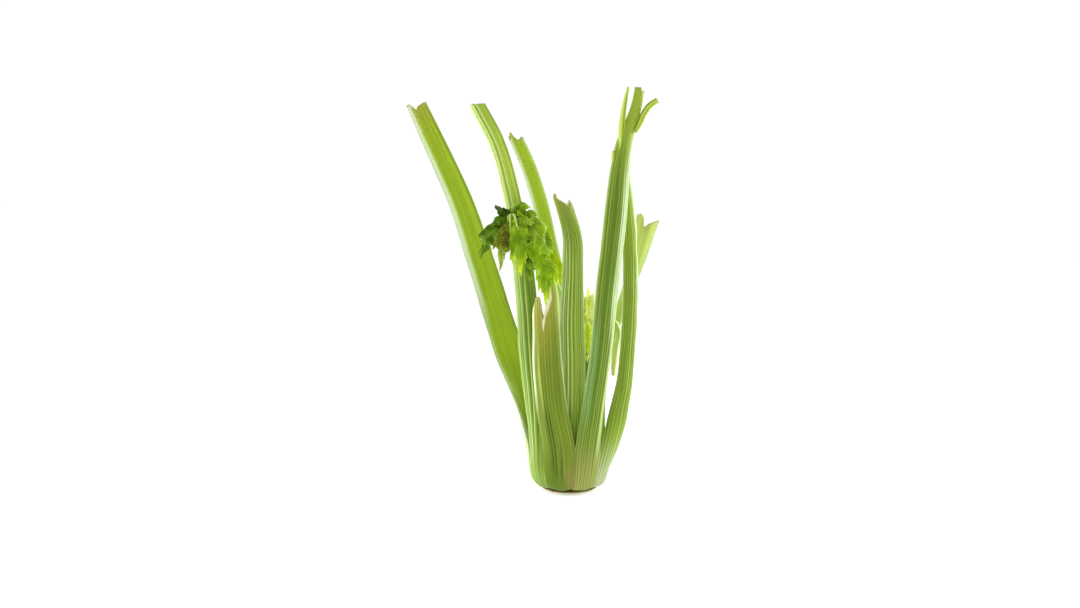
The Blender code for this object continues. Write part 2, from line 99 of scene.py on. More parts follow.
# Routes give the middle of the outer face: x, y, z and the width across the edges. "azimuth" and
# "span" place the foot in its ring, "facing" is the way the outer face turns at the top, "wrap" is
# half the angle of the C there, "tip" is how far each place across the stalk stops short of the
# route's end: (-1 to 1 across, mm), "ribs" is the number of grooves across the outer face, and
# "grooves" are deep clefts: the place across and the travel from and to which they run. What a
# stalk leaves out, it takes from the common plan.
STALK_PLAN = dict(ring=OUTER_RING, thickness=(6.0, 4.0), turn_height=TURN_HEIGHT, grooves=[])
STALKS = {
    "stalk_far_left": dict(
        azimuth=167, span=25.5, facing=112, wrap=62, ribs=12,
        route=[(-41, 16, 42, 31.5), (-48, 25, 79, 33.5), (-60, 36, 122, 31.5), (-72, 43, 160, 30.5),
               (-90, 53, 216, 29), (-109, 61, 272, 26), (-131, 67, 321, 24), (-152, 70, 367, 21)],
        tip=[(-1, 4), (-0.75, 3.5), (-0.1, 5), (0.15, 8), (0.45, 3), (0.7, 0), (1, 1)]),
    "stalk_front_left": dict(
        azimuth=-146, span=18.7, facing=-112, wrap=64, thickness=(6.0, 3.6), ribs=10,
        route=[(-33.3, -23.1, 44, 22.6), (-35.5, -27, 80, 25.5), (-39.4, -31.3, 130, 22.4),
               (-42.6, -35, 180, 21.8), (-47.5, -38, 230, 20.5), (-55.5, -40, 276, 18),
               (-67.5, -41, 322, 17), (-87, -40, 361, 16)],
        tip=[(-1, 1), (-0.5, 0), (0.2, 2), (1, 5)]),
    "stalk_front_broken": dict(
        azimuth=-105.6, span=21.1, facing=-104, wrap=54, thickness=(6.0, 4.5), ribs=12,
        grooves=[(-0.3, 12, 106), (-0.12, 10, 100), (0.2, 8, 60)],
        route=[(-12, -41.5, 45, 31), (-18.1, -46, 80, 30.3), (-22.4, -50, 120, 29.3),
               (-24, -52, 158, 26.5), (-25.4, -53, 200, 22.4)],
        tip=[(-1, 27), (-0.62, 13), (-0.5, 12), (-0.38, 15), (-0.05, 33), (0.12, 20), (0.5, 7),
             (0.72, 0), (1, 9)]),
    "stalk_front_right": dict(
        azimuth=-67.2, span=16.6, facing=-72, wrap=68, ribs=11,
        route=[(18, -39.8, 45, 24.9), (24, -47, 90, 22.5), (30, -52, 140, 21.5),
               (34, -56, 185, 22.5), (38.5, -59, 230, 22), (43, -61, 275, 21.8),
               (44.8, -62, 303, 18.3), (47.8, -62, 324, 15.8), (53, -63, 341, 12),
               (57.5, -63, 355, 11), (60.7, -63, 373, 10.2)],
        tip=[(-1, 0.5), (0, 0), (0.35, 3), (0.6, 3.5), (1, 2.5)]),
    "stalk_right": dict(
        azimuth=-24, span=25.8, facing=-60, wrap=66, ribs=10, turn_height=65,
        route=[(43.6, -17.6, 46, 28.6), (49, -18, 74, 23), (53.9, -19, 104, 18.8),
               (56.8, -19, 138, 17.8), (58.7, -19, 181, 17.8), (58.5, -19, 215, 17),
               (56, -18, 260, 16.5), (51, -16, 296, 16), (48, -15, 314, 15.5)],
        tip=[(-1, 0), (0, 2), (1, 4)]),
    "stalk_back_right": dict(
        azimuth=34, span=21.5, facing=68, wrap=58, thickness=(5.0, 3.4), ribs=9,
        turn_height=230,
        route=[(32, 25, 44, 23), (33.5, 31, 80, 17), (37.5, 35, 110, 13.5), (42.5, 38, 132, 12.5),
               (48.5, 42, 154, 12), (60, 46, 187, 14), (68, 49, 212, 17.5), (80.5, 54, 257, 25)],
        tip=[(-1, 3), (-0.6, 5), (-0.1, 8), (0.25, 13), (0.45, 3), (0.7, 0), (1, 2)]),
    "stalk_back_centre": dict(
        azimuth=80, span=21, facing=82, wrap=62, thickness=(6.0, 3.8), ribs=11,
        route=[(8, 41, 44, 25), (5, 49, 90, 22), (4, 54, 140, 20), (3, 57, 190, 18.5),
               (3, 59, 236, 16)],
        tip=[(-1, 4), (0, 0), (1, 2)]),
    "stalk_back_short": dict(
        azimuth=121, span=17.5, facing=122, wrap=56, ribs=10,
        route=[(-19, 38, 42, 20), (-20, 46, 82, 19), (-23, 50, 124, 18)],
        tip=[(-1, 0), (-0.2, 5), (0.4, 9), (1, 3)]),
    "stalk_middle_front": dict(
        ring=INNER_RING, azimuth=-90, span=27, facing=-84, wrap=64, thickness=(5.6, 3.8), ribs=12,
        route=[(2, -32, 45, 25), (3, -36, 85, 25), (3, -38, 125, 24), (2, -39, 165, 23),
               (2.5, -39, 192, 21), (3, -39, 215, 19.5), (2.5, -38, 238, 18.5),
               (-3, -37, 262, 16.5), (-10, -36, 282, 14.5)],
        tip=[(-1, 2), (-0.8, 0), (-0.55, 5), (0, 10), (0.45, 15), (0.75, 10), (1, 13)]),
    "stalk_middle_back": dict(
        ring=INNER_RING, azimuth=98, span=27, facing=101, wrap=64, thickness=(5.4, 3.4), ribs=10,
        route=[(-3, 34, 45, 22), (-2, 38, 82, 22.5), (-4, 42, 126, 21.5), (-9, 46, 170, 20),
               (-19, 50, 224, 18), (-29.5, 54, 272, 17), (-42.5, 56, 311, 16),
               (-55.5, 57, 339, 14)],
        tip=[(-1, 10), (-0.85, 8.5), (-0.4, 11), (0.1, 6), (0.4, 0), (0.55, 0.5), (1, 7)]),
    "stalk_middle_left": dict(
        ring=INNER_RING, azimuth=182, span=27, facing=184, wrap=54, thickness=(5.0, 3.4), ribs=8,
        route=[(-27, 1, 44, 17), (-29, 2, 74, 15), (-32, 3, 110, 12.5)],
        tip=[(-1, 3), (0, 0), (1, 7)]),
    "stalk_middle_right": dict(
        ring=INNER_RING, azimuth=5, span=27, facing=8, wrap=54, thickness=(5.0, 3.4), ribs=8,
        route=[(29, 3, 44, 17), (32, 5, 80, 15), (35, 7, 122, 13)], tip=[(-1, 6), (0, 0), (1, 3)]),
}

# Side shoots that leave the tall front stalk just under its top: route and thickness
SIDE_SHOOTS = {
    "stalk_front_right": [
        [(41.5, -57, 300, 3.6), (42.5, -58.5, 315, 5), (43.8, -59.5, 327, 6),
         (44.3, -60.5, 339, 5.8),
         (45.2, -61.5, 350, 5), (47, -62, 362, 3.8), (49.3, -62.5, 373, 2)],
        [(56, -60, 334, 3), (60, -59.5, 342, 5), (63.5, -60, 350, 5.3), (68.6, -61, 357.2, 5.3),
         (75, -60, 361.6, 5)],
        [(41, -57.5, 292, 2.8), (38.8, -58, 303, 4), (37.2, -58.5, 311, 4), (37, -59, 317.5, 3)],
    ],
}

# Heart stalks: narrow solid stems in the middle of the head, x, y, z and thickness
HEART_STALKS = {
    "heart_stalk_leafy": [
        (-7, -4, 19, 11), (-8, -8, 60, 9.5), (-8, -12, 110, 8), (-8, -14, 160, 6),
        (-10, -20, 190, 4.6), (-19, -34, 214, 3.8), (-32, -48, 235, 3.2), (-44, -56, 248, 2.6),
        (-51, -58, 256, 2.0)],
    "heart_stalk_right": [(9, -6, 19, 10), (13, -10, 60, 8), (16, -12, 100, 6), (17, -13, 137, 4)],
    "heart_stalk_drooping": [
        (9, 8, 19, 10), (15, 11, 60, 7), (27, 15, 112, 5), (38, 15, 147, 4), (43, 15, 158, 4),
        (47, 15, 151, 4.4), (45.1, 15, 130, 5.4), (43.2, 15, 113, 6), (42.6, 15, 105.5, 4)],
    "heart_stalk_small": [(-6, 10, 19, 10), (-8, 14, 55, 7.5), (-10, 16, 92, 4)],
}

# Leaflets: the midrib's foot, middle and tip, the way the blade faces, its width and its outline
LEAFLETS = {
    "leaflet_top_pointed": (
        (-55, -59, 259), (-62, -61, 265), (-68.5, -62, 268.5), (0, -1, 0.6), 13, "pointed"),
    "leaflet_top_domed": (
        (-50.6, -59.2, 258), (-45.5, -65, 267.5), (-37, -67, 259), (0, -1, 0.8), 21, "fan"),
    "leaflet_left_dark": (
        (-56, -62, 252), (-72, -67, 245), (-81, -64, 222.5), (-0.4, -1, 0.4), 22, "lobed"),
    "leaflet_left_frilled": (
        (-54, -70, 249), (-61, -73.5, 240), (-65, -73, 222), (-0.2, -1, 0.2), 16, "lobed"),
    "leaflet_centre": (
        (-46.5, -74, 249), (-46, -80, 231), (-45.5, -78, 208), (0, -1, 0.1), 17, "lobed"),
    "leaflet_right_serrated": (
        (-43, -65, 252), (-32, -69, 247), (-17.5, -66, 226), (0.3, -1, 0.4), 29, "fan"),
    "leaflet_lower_right": (
        (-31, -56, 234), (-23.5, -62, 212), (-22, -58, 181), (0, -1, 0.1), 22, "lobed"),
    "leaflet_stalk_right": (
        (-20, -42, 226), (-14, -49, 217), (-13, -50, 198), (0.1, -1, 0.2), 14, "fan"),
    "leaflet_back_dark": (
        (-39, -50, 236), (-37, -52, 220), (-35, -52, 202), (0, -1, 0), 14, "strap"),
    "leaflet_hanging_strip": (
        (-55, -58, 243), (-60, -59, 229), (-63, -59, 211), (0, -1, 0), 8, "strap"),
    "heart_leaflet_right": (
        (16.5, -15.5, 142), (17.5, -19, 168), (17, -19, 196), (0, -1, 0), 15, "fan"),
    "heart_leaflet_left": (
        (15.5, -17, 131), (16.5, -23, 146), (16.5, -24.5, 163), (0, -1, 0), 12, "fan"),
}

# Small blades of the same leaf beside the larger ones, with the piece each takes its look from
SMALL_BLADES = {
    "leaflet_left_small": (
        (-56, -61, 257), (-63, -65, 258), (-71, -66, 252), (-0.2, -1, 0.5), 12, "lobed",
        "leaflet_left_dark"),
    "leaflet_top_small": (
        (-42, -62, 259), (-35, -66, 262), (-28.5, -66, 256), (0.2, -1, 0.6), 10, "fan",
        "leaflet_top_domed"),
    "leaflet_front_small": (
        (-47, -68, 257), (-41, -72, 258), (-34, -71, 253), (0, -1, 0.7), 8, "fan",
        "leaflet_right_serrated"),
    "leaflet_low_small": (
        (-28, -58, 222), (-20, -62, 215), (-15, -60, 202), (0.2, -1, 0), 12, "fan",
        "leaflet_lower_right"),
    "leaflet_strip_small": (
        (-54, -62, 243), (-56, -65, 236), (-55, -66, 228), (0, -1, 0), 8, "fan",
        "leaflet_left_frilled"),
}

# Where each small stem leaves its heart stalk for its leaflet's foot, with the places that it
# arches over
STEMLETS = {
    "leaflet_top_pointed": [(-51, -58, 256)],
    "leaflet_top_domed": [(-50, -58, 255)],
    "leaflet_left_dark": [(-51, -58, 256), (-55, -67, 261)],
    "leaflet_left_frilled": [(-51, -58, 256), (-53.5, -69.5, 262)],
    "leaflet_centre": [(-50, -58, 255), (-50.5, -71.5, 262)],
    "leaflet_right_serrated": [(-49, -58, 254), (-46.5, -68, 258)],
    "leaflet_lower_right": [(-33, -49, 236)],
    "leaflet_stalk_right": [(-21, -36, 217)],
    "leaflet_back_dark": [(-34, -50, 237)],
    "leaflet_hanging_strip": [(-50, -58, 255)],
    "heart_leaflet_right": [(17, -13, 136)],
    "heart_leaflet_left": [(16.5, -12.5, 126)],
}

SIDE_LEAD = 250.0  # travel already behind the start of a shoot or leaflet stem
STEMLET_THICKNESS = (2.6, 2.3, 1.4)  # of a leaflet's stem at its start, bends and end
LEAF_THICKNESS = 0.4
LEAF_RINGS = 30
LEAF_COLUMNS = 150


# ---- curves and fields ----
def smooth_rows(rows, knots, places):
    """Rows of numbers read at the places from one smooth cubic through the rows at the knots."""
    rows = np.asarray(rows, float)
    knots = np.asarray(knots, float)
    places = np.atleast_1d(places)
    slopes = np.gradient(rows, knots, axis=0)
    start = np.clip(np.searchsorted(knots, places, side="right") - 1, 0, len(knots) - 2)
    length = (knots[start + 1] - knots[start])[:, None]
    t = (places - knots[start])[:, None] / length
    value = (2 * t**3 - 3 * t**2 + 1) * rows[start] + (3 * t**2 - 2 * t**3) * rows[start + 1]
    bend = (t**3 - 2 * t**2 + t) * slopes[start] + (t**3 - t**2) * slopes[start + 1]
    return value + bend * length


def distances(points):
    """Running length along a row of points."""
    steps = np.linalg.norm(np.diff(np.asarray(points, float), axis=0), axis=1)
    return np.concatenate([[0.0], np.cumsum(steps)])


def unit(vectors):
    return vectors / np.linalg.norm(vectors, axis=-1, keepdims=True)


def ease(value):
    value = np.clip(value, 0.0, 1.0)
    return value * value * (3 - 2 * value)


def ripple(seed, u, v, waves=7):
    """Smooth field between about -1 and 1 over two coordinates, a sum of seeded sine waves."""
    draw = np.random.default_rng(seed)
    total = np.zeros(np.broadcast(u, v).shape)
    for _ in range(waves):
        turn = draw.uniform(0, 2 * math.pi)
        pace = draw.uniform(0.5, 1.6)
        shift = draw.uniform(0, 2 * math.pi)
        total += np.sin(2 * math.pi * pace * (math.cos(turn) * u + math.sin(turn) * v) + shift)
    return total / math.sqrt(2 * waves)


# ---- meshes ----
def new_piece(name, points, faces, material, replaced=(), fields=None):
    """Closed mesh from points in mm, with its point fields, riding on the body."""
    mesh = bpy.data.meshes.new(name)
    mesh.from_pydata((np.asarray(points) * MM).tolist(), [], faces)
    mesh.materials.append(material)
    mesh.shade_smooth()
    for field, values in (fields or {}).items():
        layer = mesh.attributes.new(field, "FLOAT", "POINT")
        layer.data.foreach_set("value", np.asarray(values, np.float32).ravel())
    piece = bpy.data.objects.new(name, mesh)
    bpy.context.scene.collection.objects.link(piece)
    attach(piece, "root")
    if replaced:
        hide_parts(*replaced)
    return piece


def tube_faces(rings, around):
    """Quads between neighbouring rings of points, each ring closed on itself."""
    level = np.arange(rings - 1)[:, None] * around
    column = np.arange(around)[None, :]
    low, beside = level + column, level + (column + 1) % around
    return np.stack([low, beside, beside + around, low + around], axis=-1).reshape(-1, 4)


# ---- stalks ----
def stalk_rows(plan):
    """Rows down the whole stalk: x, y, z, width, facing, wrap, thickness, edge thickness."""
    rows = []
    azimuth = math.radians(plan["azimuth"])
    for height, radius in plan["ring"]:
        width = 2 * radius * math.sin(math.radians(plan["span"]))
        foot = (radius * math.cos(azimuth), radius * math.sin(azimuth), height, width)
        rows.append((*foot, plan["azimuth"], plan["span"], RING_THICKNESS, FOOT_EDGE))
    top = plan["route"][-1][2]
    thick, thin = plan["thickness"]
    for x, y, z, width in plan["route"]:
        turn = ease((z - plan["ring"][-1][0]) / plan["turn_height"])
        facing = plan["azimuth"] + (plan["facing"] - plan["azimuth"]) * turn
        wrap = plan["span"] + (plan["wrap"] - plan["span"]) * ease(z / FREE_HEIGHT)
        thickness = thick + (thin - thick) * z / top
        edge = FOOT_EDGE + (THIN_EDGE - FOOT_EDGE) * ease(z / FREE_HEIGHT)
        rows.append((x, y, z, width, facing, wrap, thickness, edge))
    return rows


def ring_columns(count):
    """One turn round a C section: place across, depth (0 outer, 1 inner) and margin bulge."""
    face = np.linspace(-1.0, 1.0, count)
    turn = np.linspace(0.0, math.pi, END_ROWS + 1)[1:-1]
    place = np.concatenate([face, np.ones(len(turn)), face[::-1], -np.ones(len(turn))])
    depth = np.concatenate([np.zeros(count), (1 - np.cos(turn)) / 2,
                            np.ones(count), (1 + np.cos(turn)) / 2])
    bulge = np.concatenate([np.zeros(count), np.sin(turn), np.zeros(count), -np.sin(turn)])
    return place, depth, bulge


def stalk_points(plan, seed, along, place, depth, bulge):
    """Points of the fine surface with its fields, as (level, column) grids."""
    rows = stalk_rows(plan)
    knots = distances([row[:3] for row in rows])
    length = knots[-1]
    ragged = RAGGED[0] * (1 + ripple(seed, place * 3.1, depth * 0.5))
    ragged = ragged + RAGGED[1] * ripple(seed + 1, place * 9, depth)
    short = np.interp(place, [p for p, _ in plan["tip"]], [drop for _, drop in plan["tip"]])
    short = np.maximum(short + ragged, 0.0)
    travel = along[:, None] * (length - short)[None, :]
    shape = travel.shape
    row = smooth_rows(rows, knots, travel.ravel())
    ahead = smooth_rows(rows, knots, np.minimum(travel.ravel() + TANGENT_STEP, length))[:, :3]
    behind = smooth_rows(rows, knots, np.maximum(travel.ravel() - TANGENT_STEP, 0.0))[:, :3]
    tangent = unit(ahead - behind)
    turned = np.radians(row[:, 4])
    outward = np.stack([np.cos(turned), np.sin(turned), np.zeros(len(turned))], axis=1)
    outward = unit(outward - np.sum(outward * tangent, axis=1, keepdims=True) * tangent)
    side = np.cross(tangent, outward)
    wrap = np.radians(row[:, 5]).reshape(shape)
    radius = row[:, 3].reshape(shape) / (2 * np.sin(wrap))
    edge = row[:, 7].reshape(shape)
    free = ease((travel - MARGIN_START) / MARGIN_FADE)
    limit = FOOT_LIMIT + (MARGIN_LIMIT - FOOT_LIMIT) * free
    margin = 0.5 * np.minimum(edge, limit) * MARGIN_BULGE
    joined = SEAM_OVERLAP * ease((SEAM_HEIGHT - travel) / SEAM_FADE)
    angle = wrap * place * (1 - (margin - joined) / (radius * wrap))
    thickness = edge + (row[:, 6].reshape(shape) - edge) * (1 - place * place)

    wander = RIB_WANDER[0] * ripple(seed + 2, place * 1.3, travel / 150)
    wander = wander + RIB_WANDER[1] * ripple(seed + 7, place * 2, 0.0)
    phase = plan["ribs"] * (place + 1) / 2 + wander
    rib = (0.5 + 0.5 * np.cos(2 * math.pi * phase)) ** RIB_POWER
    draw = np.random.default_rng(seed + 3).uniform(0.0, 1.0, plan["ribs"] + 3)
    tone = draw[np.clip(np.round(phase).astype(int) + 1, 0, len(draw) - 1)]
    strength = RIB_LEAST + tone
    grown = RIB_LEAST + (1 - RIB_LEAST) * ease((travel - RIB_START) / RIB_FADE)
    wide = np.clip(row[:, 3].reshape(shape) / (plan["ribs"] * RIB_ROOM), 0.35, 1.0)
    outer_share = np.clip(1 - 2 * depth, 0, 1)
    heel = HEEL_DEPTH * np.clip(1 - travel / HEEL_HEIGHT, 0, 1) ** 2
    lumps = LUMPS * ripple(seed + 4, place * 0.8, travel / 45)
    cleft = np.zeros(shape)
    for centre, low, high in plan["grooves"]:
        level = ease((travel - low) / 20) * ease((high - travel) / 30)
        cleft = np.maximum(cleft, np.exp(-((place - centre) / CLEFT_HALF) ** 2) * level)
    relief = RIB_DEPTH * (rib - 1) * strength * grown * wide + lumps - heel - CLEFT_DEPTH * cleft
    channel = CHANNEL_RIBS * np.cos(2 * math.pi * phase)
    channel = channel + CHANNEL_LUMPS * ripple(seed + 5, place, travel / 60)

    inner_share = np.clip(2 * depth - 1, 0, 1)
    reach = radius - thickness * depth + relief * outer_share + channel * inner_share
    flat = angle.ravel()[:, None]
    ray = np.cos(flat) * outward + np.sin(flat) * side
    beside = np.cos(flat) * side - np.sin(flat) * outward
    axis = row[:, :3] - radius.ravel()[:, None] * outward
    stick_out = (margin * bulge).ravel()[:, None]
    points = axis + reach.ravel()[:, None] * ray + stick_out * beside
    ones = np.ones(shape)
    fields = {"rib": rib * outer_share, "tone": tone * ones, "across": place * ones,
              "depth": depth * ones, "travel": travel, "cleft": cleft,
              "below_top": (length - short)[None, :] - travel, "torn": np.zeros(shape)}
    fields["torn"][-1] = 1.0
    return points.reshape(*shape, 3), tangent.reshape(*shape, 3), fields


def make_stalk(name, plan, seed, material):
    """Fine ribbed surface of a whole stalk, closed at both ends."""
    count = plan["ribs"] * RIB_COLUMNS + 1
    place, depth, bulge = ring_columns(count)
    length = distances([row[:3] for row in stalk_rows(plan)])[-1]
    levels = round(length / LEVEL_STEP) + 1
    along = np.linspace(0.0, 1.0, levels)
    points, tangent, fields = stalk_points(plan, seed, along, place, depth, bulge)
    around = len(place)
    arc = END_ROWS - 1

    def end_columns(level):
        """Vertex numbers of an end's grid, END_ROWS + 1 rows through the thickness."""
        start = level * around
        grid = np.zeros((END_ROWS + 1, count), int)
        grid[0] = start + np.arange(count)
        grid[-1] = start + count + arc + np.arange(count)[::-1]
        for row in range(1, END_ROWS):
            grid[row, -1] = start + count + row - 1
            grid[row, 0] = start + 2 * count + arc + (arc - row)
        return grid

    def end_faces(level, first, flip):
        """Faces over an end and the extra points and fields inside it."""
        grid = end_columns(level)
        inside = (END_ROWS - 1) * (count - 2)
        grid[1:-1, 1:-1] = first + np.arange(inside).reshape(END_ROWS - 1, count - 2)
        share = np.linspace(0, 1, END_ROWS + 1)[1:-1, None]
        ends = grid[0, 1:-1] % around, grid[-1, 1:-1] % around
        low, high = points[level][ends[0]], points[level][ends[1]]
        spread = low + (high - low) * share[..., None]
        rough = TORN_LUMPS * ripple(seed + 6, place[1:count - 1] * 14, share * 3)
        rough = rough - TORN_HOLLOW * share * (1 - share)
        spread = spread + tangent[level][ends[0]] * (rough * (0 if flip else 1))[..., None]
        extra = {key: np.repeat(values[level][ends[0]][None], END_ROWS - 1, axis=0)
                 for key, values in fields.items()}
        extra["depth"] = extra["depth"] + share
        extra["rib"] = extra["rib"] * 0
        corners = [grid[:-1, :-1], grid[:-1, 1:], grid[1:, 1:], grid[1:, :-1]]
        if flip:
            corners.reverse()
        faces = np.stack(corners, axis=-1).reshape(-1, 4)
        return spread.reshape(-1, 3), extra, faces

    faces = [tube_faces(levels, around)]
    all_points = [points.reshape(-1, 3)]
    all_fields = {key: [values.ravel()] for key, values in fields.items()}
    for level, flip in ((0, True), (levels - 1, False)):
        first = sum(len(block) for block in all_points)
        spread, extra, cap = end_faces(level, first, flip)
        all_points.append(spread)
        faces.append(cap)
        for key, values in extra.items():
            all_fields[key].append(values.ravel())
    merged = {key: np.concatenate(blocks) for key, blocks in all_fields.items()}
    new_piece(name + "_ribbed", np.concatenate(all_points), np.concatenate(faces).tolist(),
              material, (name,), merged)


# ---- stems ----
def sweep(route, columns=28, step=1.6, ribs=5, rib_depth=0.08):
    """Closed ribbed rod along a smooth route of x, y, z and thickness."""
    knots = distances([point[:3] for point in route])
    length = knots[-1]
    count = max(6, round(length / step) + 1)
    travel = np.linspace(0.0, length, count)
    rows = smooth_rows(route, knots, travel)
    centre = rows[:, :3]
    tangent = unit(np.gradient(centre, axis=0))
    across = np.cross(tangent[0], (0.0, 1.0, 0.0))
    frames = []
    for direction in tangent:
        across = across - np.dot(across, direction) * direction
        across = across / np.linalg.norm(across)
        frames.append((across, np.cross(direction, across)))
    angle = np.linspace(0, 2 * math.pi, columns, endpoint=False)
    points = []
    for place, (first, second) in enumerate(frames):
        radius = rows[place, 3] / 2
        wave = 1 + rib_depth * np.cos(ribs * angle)
        ring = np.cos(angle)[:, None] * first + np.sin(angle)[:, None] * second
        points.append(centre[place] + (radius * wave)[:, None] * ring)
    rib = np.tile(0.5 + 0.5 * np.cos(ribs * angle), (count, 1))
    return np.array(points), rib, travel, centre, tangent


def make_stem(name, route, material, slot, replaced=(), lead=0.0, **options):
    """Round stem with its fields; "lead" is the travel already behind a side stem's start."""
    points, rib, travel, centre, tangent = sweep(route, **options)
    count, columns = points.shape[:2]
    faces = tube_faces(count, columns).tolist()
    vertices = points.reshape(-1, 3)
    bottom, top = len(vertices), len(vertices) + 1
    radius = route[-1][3] / 2
    vertices = np.concatenate([vertices, [centre[0]], [centre[-1] + tangent[-1] * 0.25 * radius]])
    last = (count - 1) * columns
    for column in range(columns):
        other = (column + 1) % columns
        faces.append((other, column, bottom))
        faces.append((last + column, last + other, top))
    across = np.tile(np.linspace(-1, 1, columns), (count, 1))
    length = travel[-1]
    grid = np.repeat(travel[:, None], columns, axis=1)
    torn = np.zeros((count, columns))
    torn[-1] = 1.0
    fields = {"rib": np.append(rib.ravel(), [0, 0]), "tone": np.full(len(vertices), 0.5),
              "across": np.append(across.ravel(), [0, 0]),
              "depth": np.zeros(len(vertices)), "cleft": np.zeros(len(vertices)),
              "travel": np.append(grid.ravel(), [0, length]) + lead,
              "below_top": np.append(length - grid.ravel(), [length, 0]),
              "torn": np.append(torn.ravel(), [0, 1])}
    new_piece(name, vertices, faces, material, replaced, fields)


# ---- leaflets ----
# Blade outlines: angle from the midrib in degrees and reach as a share of the longest lobe
OUTLINES = {
    "lobed": [(0, 1.0), (9, 0.94), (17, 0.82), (24, 0.78), (34, 0.90), (42, 0.96), (50, 0.90),
              (60, 0.76), (72, 0.72), (84, 0.80), (96, 0.74), (112, 0.50), (150, 0.2)],
    "fan": [(0, 0.97), (12, 0.96), (20, 0.86), (30, 1.0), (42, 1.0), (52, 0.88), (64, 0.96),
            (80, 0.90), (92, 0.76), (104, 0.70), (120, 0.48), (150, 0.2)],
    "pointed": [(0, 1.0), (12, 0.80), (25, 0.66), (40, 0.62), (60, 0.52), (90, 0.44), (120, 0.32),
                (150, 0.16)],
    "strap": [(0, 1.0), (8, 0.86), (14, 0.74), (22, 0.72), (32, 0.56), (46, 0.56), (62, 0.42),
              (90, 0.42), (120, 0.26), (150, 0.12)],
}
BLADE_TURN = math.radians(150)
MAIN_VEINS = np.radians([0, 42, -42, 90, -90])
VEIN_SPACING = 3.2  # between side veins
VEIN_DEPTH = 0.35
MINOR_VEIN_DEPTH = 0.15
PUFF = 0.45  # swelling of the blade between side veins
TEETH = 13  # of the margin, in half a turn
TOOTH = 0.13  # tooth size as a share of the lobe
RUFFLE = 0.1  # waves of the margin and crumples, as shares of the width
CRUMPLE = 0.1
FOLD = 0.22  # how steeply the two halves fall away from the midrib
LEAF_STEP = 0.4  # distance to either side at which the midrib's direction is read
FAR = 1e9  # stands for no vein


def make_leaflet(name, plan, seed, material):
    """A lobed, toothed and ruffled blade on a fan of rays from its foot, with sunken veins."""
    foot, middle, tip, facing, width, outline = plan
    midrib = [foot, middle, tip]
    knots = distances(midrib)
    length = knots[-1]
    outline = OUTLINES[outline]
    theta = np.linspace(-BLADE_TURN, BLADE_TURN, LEAF_COLUMNS + 1)[None, :]
    share = np.linspace(0.02, 1.0, LEAF_RINGS)[:, None]
    degrees = np.degrees(np.abs(theta + 0.06 * ripple(seed, theta * 0.4, 0 * theta)))
    reach = np.interp(degrees, [a for a, _ in outline], [r for _, r in outline])
    reach = reach * (1 + 0.10 * ripple(seed + 1, theta * 0.8, 0 * theta))
    saw = theta * TEETH / math.pi + 0.2 * ripple(seed + 2, theta, 0 * theta)
    saw = np.abs(saw % 1 * 2 - 1)
    reach = reach * (0.92 + TOOTH * (1 - saw) ** 1.1)
    blade = reach * share
    y = blade * np.cos(theta)
    x = blade * np.sin(theta)
    x = x / np.max(np.abs(x)) * width / 2
    y = y / np.max(y) * length
    spine = smooth_rows(midrib, knots, np.clip(y.ravel(), 0, length))
    overrun = np.minimum(y.ravel(), 0.0)
    ahead = smooth_rows(midrib, knots, np.clip(y.ravel() + LEAF_STEP, LEAF_STEP, length))
    behind = smooth_rows(midrib, knots, np.clip(y.ravel() - LEAF_STEP, 0, length - LEAF_STEP))
    tangent = unit(ahead - behind)
    spine = spine + tangent * overrun[:, None]
    outward = np.array(facing, float)
    outward = unit(outward - np.sum(tangent * outward, axis=1, keepdims=True) * tangent)
    side = np.cross(outward, tangent)

    main = np.zeros(x.shape)
    nearest = np.full(x.shape, FAR)
    ahead_of = np.zeros(x.shape)
    for vein in MAIN_VEINS:
        turn = np.arctan2(x, y) - vein
        along = np.hypot(x, y) * np.cos(turn)
        away = np.where(along < 0, FAR, np.abs(np.hypot(x, y) * np.sin(turn)))
        main = np.maximum(main, np.exp(-(away / (0.2 + width / 60)) ** 2))
        closer = away < nearest
        nearest = np.where(closer, away, nearest)
        ahead_of = np.where(closer, along, ahead_of)
    branch = (ahead_of - 1.1 * nearest) / VEIN_SPACING
    minor = np.exp(-(np.abs(branch % 1 - 0.5) * 2 / 0.25) ** 2)
    puff = PUFF * np.sin(math.pi * (branch % 1)) * ease(nearest / 1.2)
    ruffle = RUFFLE * width * share**2 * np.sin(theta * 6.2 + seed)
    crumple = CRUMPLE * width * ripple(seed + 3, x / 12, y / 12) * ease(share * 1.6)
    fold = -FOLD * np.abs(x) ** 1.35 / (width / 2) ** 0.35
    lift = fold + ruffle + crumple + puff - VEIN_DEPTH * main - MINOR_VEIN_DEPTH * minor
    points = spine + side * x.ravel()[:, None] + outward * lift.ravel()[:, None]

    columns = LEAF_COLUMNS + 1
    low = np.arange(LEAF_RINGS - 1)[:, None] * columns + np.arange(LEAF_COLUMNS)[None, :]
    quads = np.stack([low, low + columns, low + columns + 1, low + 1], axis=-1).reshape(-1, 4)
    fields = {"share": share * np.ones(x.shape), "vein": np.maximum(main, 0.55 * minor),
              "blade_y": y / length}
    replaced = (name,) if name in LEAFLETS else ()
    piece = new_piece(name + "_blade", points, quads.tolist(), material, replaced, fields)
    solid = piece.modifiers.new("thickness", "SOLIDIFY")
    solid.thickness = LEAF_THICKNESS * MM
    solid.offset = 0.0


